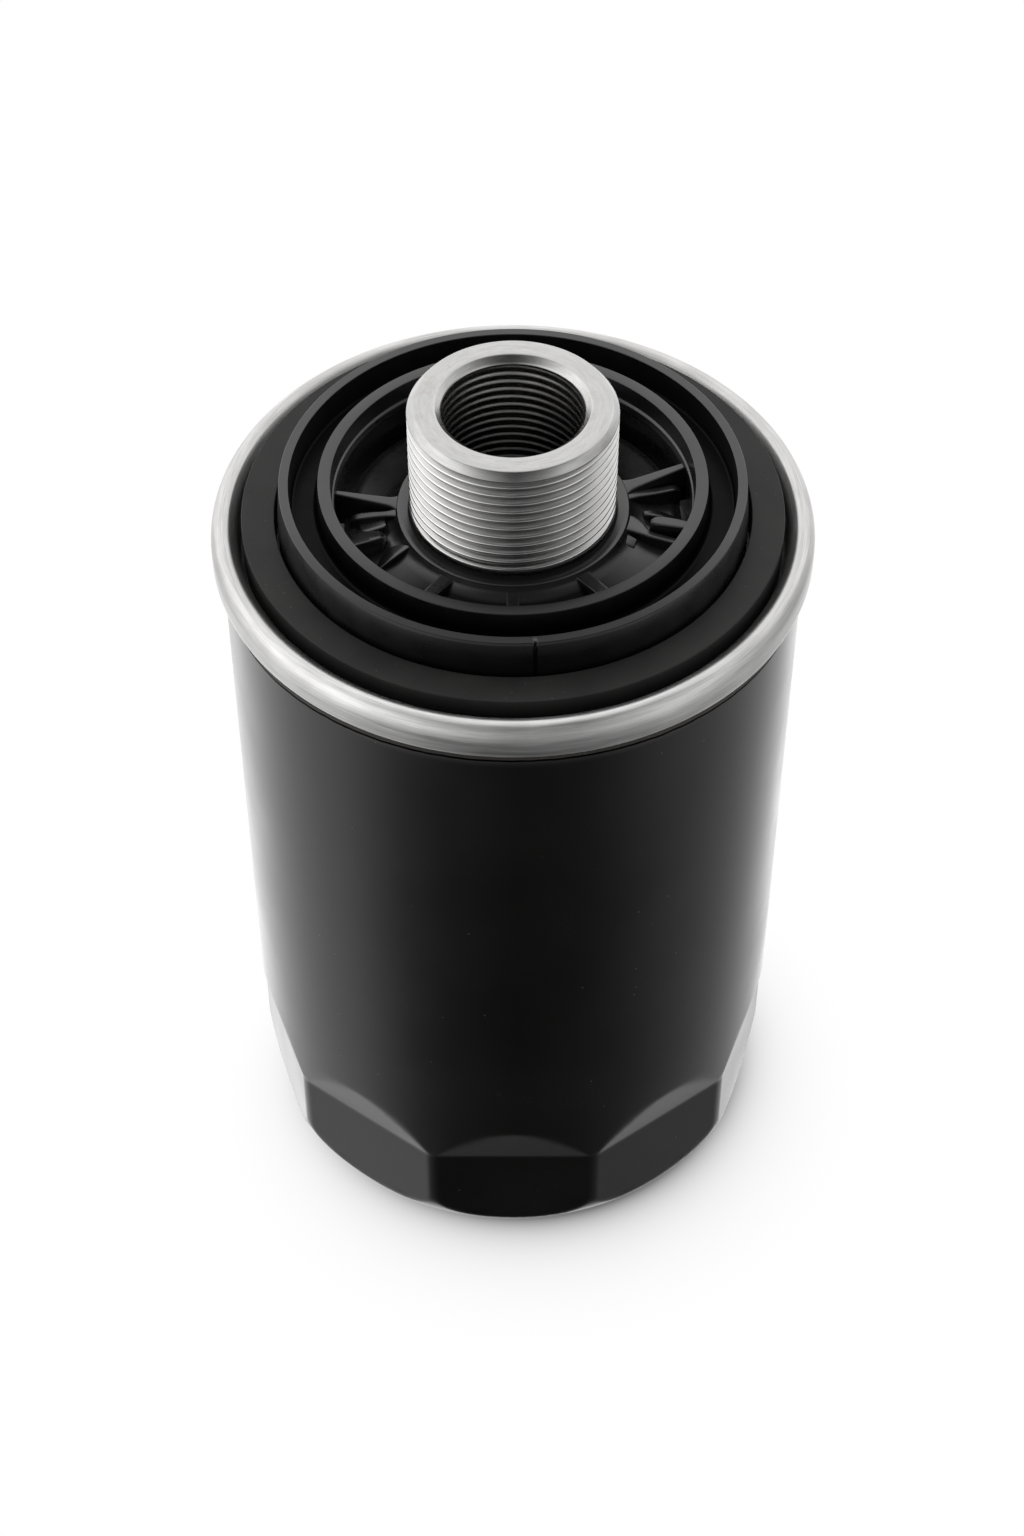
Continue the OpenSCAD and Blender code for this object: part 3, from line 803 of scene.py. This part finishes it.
plain = {
    "seam_sealant": soft_filler("sealant", (0.2, 0.15, 0.06)),
    "base_plate": sheet_metal("plate_steel", (0.3, 0.3, 0.31), 0.45),
    "weld_spots": sheet_metal("weld_steel", (0.3, 0.3, 0.31), 0.5),
    "hub_seal": rubber("seal_rubber"),
    "element_seal": rubber("grommet_rubber"),
    "upper_end_cap": sheet_metal("cap_steel", (0.55, 0.45, 0.2), 0.35),
    "upper_potting": soft_filler("potting", (0.14, 0.2, 0.1)),
    "filter_paper": paper(),
    "paper_seam_clip": sheet_metal("clip_steel", (0.5, 0.5, 0.5)),
    "centre_tube": sheet_metal("tube_steel", (0.5, 0.5, 0.51)),
    "bypass_seat": sheet_metal("valve_steel", (0.45, 0.45, 0.46)),
}
plain["lower_end_cap"] = plain["upper_end_cap"]
plain["lower_potting"] = plain["upper_potting"]
plain["bypass_seal"] = plain["hub_seal"]
plain["bypass_poppet"] = plain["bypass_cage"] = plain["bypass_seat"]
for name, material in plain.items():
    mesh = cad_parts[name].data
    mesh.materials.clear()
    mesh.materials.append(material)


# ---------------------------------------------------------------- stage, lights and camera

def build_floor():
    """A white table that glows evenly, with a soft contact shadow that is deepest to the front right."""
    bpy.ops.mesh.primitive_plane_add(size=8)
    floor = bpy.context.object
    floor.name = "stage_floor"
    floor.location.z = -0.05 * MM
    g = Graph("stage_white")
    r = g.radius()
    away = g.math("MAXIMUM", g.math("SUBTRACT", r, SHADOW_R), 0.0)

    def fading(depth, reach):
        """A shade that deep at the base, which falls off over a reach in mm."""
        return g.product(g.math("EXPONENT", g.product(away, -1 / reach)), depth)

    # 1 towards the front right and 0 opposite: half of one plus the cosine, squared
    along = g.math("ADD", g.product(g.x, 0.39), g.product(g.y, -0.92))
    half_cosine = g.product(along, g.math("DIVIDE", 0.5, g.math("MAXIMUM", r, 1.0)))
    toward = g.math("POWER", g.math("ADD", half_cosine, 0.5), 2.0)
    shade = g.product(g.math("ADD", fading(depth=0.54, reach=2.4), fading(depth=0.3, reach=8.0)), toward)
    glow = g.math("MINIMUM", g.math("SUBTRACT", 1.02, shade), 1.0)
    floor.data.materials.append(g.set(Base_Color=grey(0.0), Roughness=1.0, Specular_IOR_Level=0.0,
                                      Emission_Color=grey(1.0), Emission_Strength=glow))
    floor.visible_glossy = False


# The studio as gloss sees it, low down to high up: the height of a band as the sine of its elevation,
# then its brightness at degrees from the front, negative on the left. The front is dark, as if round a
# camera.
STUDIO = [
    (-0.985, [(-180, 1.0), (-112, 0.9), (-68, 0.4), (-30, 0.16), (0, 0.14), (30, 0.12), (68, 0.2),
              (112, 0.55), (180, 1.0)]),
    (-0.92, [(-180, 1.0), (-140, 1.0), (-106, 0.7), (-74, 0.45), (-60, 0.27), (-47, 0.12),
             (-30, 0.055), (0, 0.02), (30, 0.035), (47, 0.065), (60, 0.11), (89, 0.25), (123, 0.67),
             (140, 0.9), (180, 1.0)]),
    (-0.76, [(-180, 2.1), (-160, 2.1), (-152, 2.0), (-144, 1.85), (-134, 1.45), (-123, 1.1),
             (-106, 0.74), (-89, 0.55), (-74, 0.48), (-60, 0.27), (-47, 0.12), (-30, 0.055),
             (0, 0.02), (30, 0.035), (47, 0.065), (60, 0.11), (74, 0.17), (89, 0.25), (106, 0.4),
             (123, 0.67), (134, 1.0), (144, 1.3), (152, 1.7), (160, 1.8), (180, 2.1)]),
    (-0.62, [(-180, 1.2), (-150, 0.8), (-120, 0.75), (-90, 0.8), (-60, 0.7), (-30, 0.2), (0, 0.03),
             (30, 0.12), (60, 0.45), (90, 0.5), (120, 0.6), (150, 1.2), (180, 1.2)]),
    (-0.48, [(-180, 1.3), (-150, 1.1), (-112, 0.85), (-85, 0.95), (-57, 0.9), (-30, 0.5), (0, 0.36),
             (30, 0.34), (57, 0.6), (85, 0.5), (112, 0.5), (150, 1.2), (180, 1.3)]),
    (-0.3, [(-180, 1.3), (-150, 1.2), (-112, 0.9), (-85, 1.0), (-57, 1.0), (-30, 0.5), (0, 0.2),
            (30, 0.35), (57, 0.7), (85, 0.5), (112, 0.45), (150, 1.1), (180, 1.3)]),
    (0.07, [(-180, 1.2), (-122, 1.3), (-81, 1.5), (-55, 1.35), (-28, 0.7), (0, 0.2), (28, 0.4),
            (55, 0.9), (81, 0.6), (105, 0.4), (130, 1.1), (180, 1.2)]),
    (0.48, [(-180, 1.2), (-127, 1.6), (-81, 1.7), (-57, 1.4), (-29, 0.55), (0, 0.08), (29, 0.3),
            (57, 0.85), (81, 0.7), (110, 1.0), (130, 1.5), (180, 1.2)]),
    (0.74, [(-180, 1.2), (-110, 1.4), (-85, 1.0), (-60, 0.65), (-30, 0.18), (0, 0.05), (30, 0.1),
            (60, 0.3), (90, 0.55), (115, 1.1), (180, 1.2)]),
    (0.91, [(-180, 1.15), (-110, 1.1), (-75, 0.55), (-42, 0.14), (0, 0.03), (42, 0.07), (75, 0.28),
            (110, 0.8), (180, 1.15)]),
    (0.999, [(-180, 0.7), (180, 0.7)]),
]
BRIGHTEST = 2.5           # the colour stops hold brightness as a share of this
DIFFUSE_LEVEL = 0.1       # the world's share of the diffuse light; the sun and the table give the rest


def build_world():
    """White for the camera, a little fill for diffuse light, and the studio's bands for gloss."""
    world = bpy.data.worlds.new("studio")
    world.use_nodes = True
    bpy.context.scene.world = world
    tree = world.node_tree
    tree.nodes.clear()

    def node(kind, inputs=None, **settings):
        return add_node(tree, kind, inputs, **settings)

    def calc(operation, a, b=0.0):
        return node("ShaderNodeMath", {0: a, 1: b}, operation=operation).outputs[0]

    x, y, z = node("ShaderNodeSeparateXYZ", {0: node("ShaderNodeTexCoord").outputs["Generated"]}).outputs
    side = calc("ADD", calc("DIVIDE", calc("ARCTAN2", x, calc("MULTIPLY", y, -1.0)), 2 * math.pi), 0.5)
    gloss = None
    for i, (height, levels) in enumerate(STUDIO):
        ramp = node("ShaderNodeValToRGB", {0: side})
        stops = ramp.color_ramp.elements
        while len(stops) < len(levels):
            stops.new(0.5)
        for stop, (degrees, level) in zip(stops, levels):
            stop.position = degrees / 360 + 0.5
            stop.color = (level / BRIGHTEST,) * 3 + (1,)
        share = node("ShaderNodeSeparateColor", {0: ramp.outputs[0]}).outputs[0]
        band = calc("MULTIPLY", share, BRIGHTEST)
        if gloss:
            rise = node("ShaderNodeMapRange", {0: z, 1: STUDIO[i - 1][0], 2: height}).outputs[0]
            band = node("ShaderNodeMix", {0: rise, 2: gloss, 3: band}, data_type="FLOAT").outputs[0]
        gloss = band
    path = node("ShaderNodeLightPath")
    level = node("ShaderNodeMix", {0: path.outputs["Is Diffuse Ray"], 2: 1.0, 3: DIFFUSE_LEVEL},
                 data_type="FLOAT").outputs[0]
    level = node("ShaderNodeMix", {0: path.outputs["Is Glossy Ray"], 2: level, 3: gloss},
                 data_type="FLOAT").outputs[0]
    background = node("ShaderNodeBackground", {0: (1, 1, 1, 1), 1: level})
    tree.links.new(background.outputs[0], node("ShaderNodeOutputWorld").inputs[0])


def build_sun():
    """A soft light from above for what isn't glossy."""
    light = bpy.data.lights.new("sun", "SUN")
    light.energy = 4.1
    light.angle = math.radians(45)
    sun = bpy.data.objects.new("sun", light)
    bpy.context.scene.collection.objects.link(sun)
    sun.rotation_euler = Vector((-0.03, 0.03, 1.0)).to_track_quat("Z", "Y").to_euler()
    sun.visible_glossy = False


def build_camera():
    pitch = math.radians(47.52)
    data = bpy.data.cameras.new("camera")
    data.lens = 68.32
    data.sensor_width = 36
    camera = bpy.data.objects.new("camera", data)
    bpy.context.scene.collection.objects.link(camera)
    camera.location = (-0.00012, -0.2710, (SEAM + 249.3) * MM)
    camera.rotation_euler = (math.pi / 2 - pitch, 0, 0)
    data.clip_start, data.clip_end = 0.01, 20
    bpy.context.scene.camera = camera


build_floor()
build_world()
build_sun()
build_camera()
bpy.context.scene.view_settings.view_transform = "Standard"
